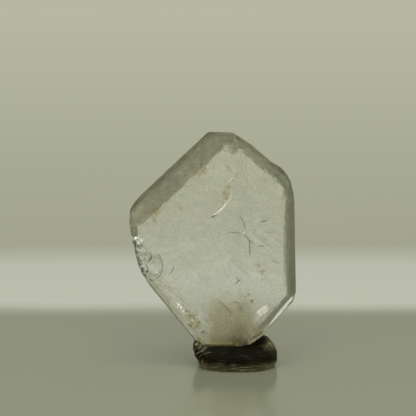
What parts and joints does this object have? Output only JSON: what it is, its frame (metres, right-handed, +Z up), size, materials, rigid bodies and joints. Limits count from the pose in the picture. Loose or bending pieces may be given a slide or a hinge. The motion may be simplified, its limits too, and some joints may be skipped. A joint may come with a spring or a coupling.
{
  "type": "japan law twin quartz",
  "caption": "Flat fan-shaped Japan-law twin of clear quartz, standing upright with its broken root pressed into a wad of dark mounting putty.",
  "frame": {"origin": "centre of the putty's flat foot, on the surface it stands on", "axes": "+Z up, along the twin's nearly vertical seam; -Y is the front, the broad face towards the viewer; +X to the viewer's right"},
  "size_m": [0.0202, 0.0086, 0.0285],
  "materials": {
    "quartz": "clear quartz, glassy faces, faint iron stains, milky at the root",
    "putty": "dark olive-black plastic putty, dull sheen, finger-drawn ridges"
  },
  "bodies": {
    "root": {"twin_crystal": "quartz", "mounting_putty": "putty"}
  },
  "joints": []
}
